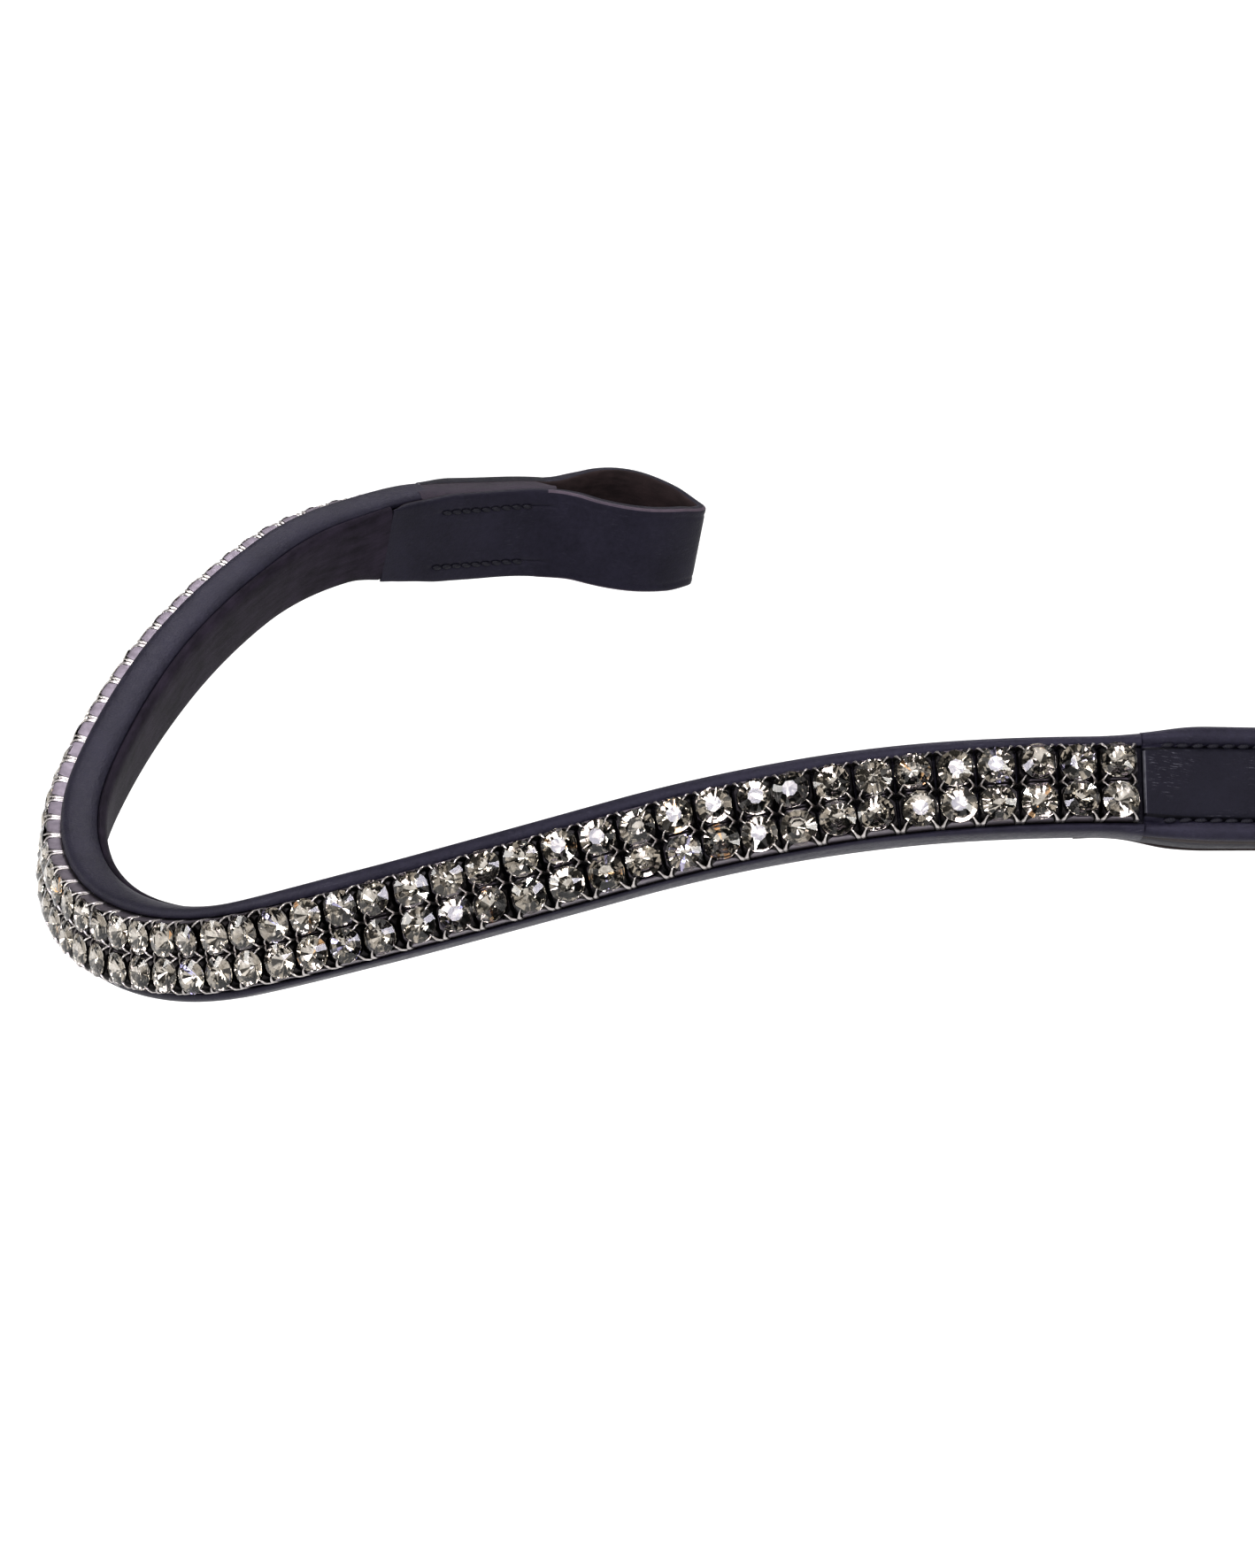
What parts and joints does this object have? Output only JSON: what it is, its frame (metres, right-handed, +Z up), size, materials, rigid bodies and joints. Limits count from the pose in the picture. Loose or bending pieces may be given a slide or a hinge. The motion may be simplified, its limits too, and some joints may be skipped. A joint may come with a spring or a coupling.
{
  "type": "bridle browband",
  "caption": "Curved padded leather browband with two rows of cup-set crystals in its channel and a stitched leather loop at each end.",
  "frame": {"origin": "middle of the lining's back face at mid-brow, where the band rests on the forehead", "axes": "+X towards the near end of the band, +Y back towards the horse's ears along the legs of the curve, +Z up, with the band standing on its centre and both loops"},
  "size_m": [0.2362, 0.1665, 0.0357],
  "materials": {
    "face_leather": "smooth blue-black bridle leather, satin",
    "lining_leather": "matte black lining leather",
    "padding": "soft black foam, not seen",
    "cups": "dark nickel plate, polished",
    "crystal": "faceted smoky grey crystal",
    "thread": "waxed blue-black thread"
  },
  "bodies": {
    "brow_centre": {"face_centre": "face_leather", "core_centre": "padding", "lining_centre": "lining_leather", "upper_cups_centre": "cups", "lower_cups_centre": "cups", "upper_stones_centre": "crystal", "lower_stones_centre": "crystal"},
    "near_side": {"face_near": "face_leather", "core_near": "padding", "lining_near": "lining_leather", "upper_cups_near": "cups", "lower_cups_near": "cups", "upper_stones_near": "crystal", "lower_stones_near": "crystal", "tab_near": "face_leather", "filler_near": "lining_leather", "flap_near": "face_leather", "upper_stitches_near": "thread", "lower_stitches_near": "thread"},
    "near_loop": {"loop_near": "face_leather"},
    "far_side": {"face_far": "face_leather", "core_far": "padding", "lining_far": "lining_leather", "upper_cups_far": "cups", "lower_cups_far": "cups", "upper_stones_far": "crystal", "lower_stones_far": "crystal", "tab_far": "face_leather", "filler_far": "lining_leather", "flap_far": "face_leather", "upper_stitches_far": "thread", "lower_stitches_far": "thread"},
    "far_loop": {"loop_far": "face_leather"}
  },
  "joints": [
    {"name": "near_flex", "type": "hinge", "parent": "brow_centre", "child": "near_side", "pos_m": [0.04896, 0.01192, 0.01003], "axis": [-0.4165, 0.2462, 0.8751], "range_deg": [-8, 25]},
    {"name": "far_flex", "type": "hinge", "parent": "brow_centre", "child": "far_side", "pos_m": [-0.04653, 0.01596, 0.00972], "axis": [-0.4472, -0.0595, -0.8924], "range_deg": [-8, 25]},
    {"name": "near_loop_flex", "type": "hinge", "parent": "near_side", "child": "near_loop", "pos_m": [0.12696, 0.11063, 0.00694], "axis": [-0.3589, 0.4408, 0.8227], "range_deg": [-20, 20]},
    {"name": "far_loop_flex", "type": "hinge", "parent": "far_side", "child": "far_loop", "pos_m": [-0.07911, 0.13059, 0.01145], "axis": [-0.2751, -0.2222, -0.9354], "range_deg": [-20, 20]}
  ]
}
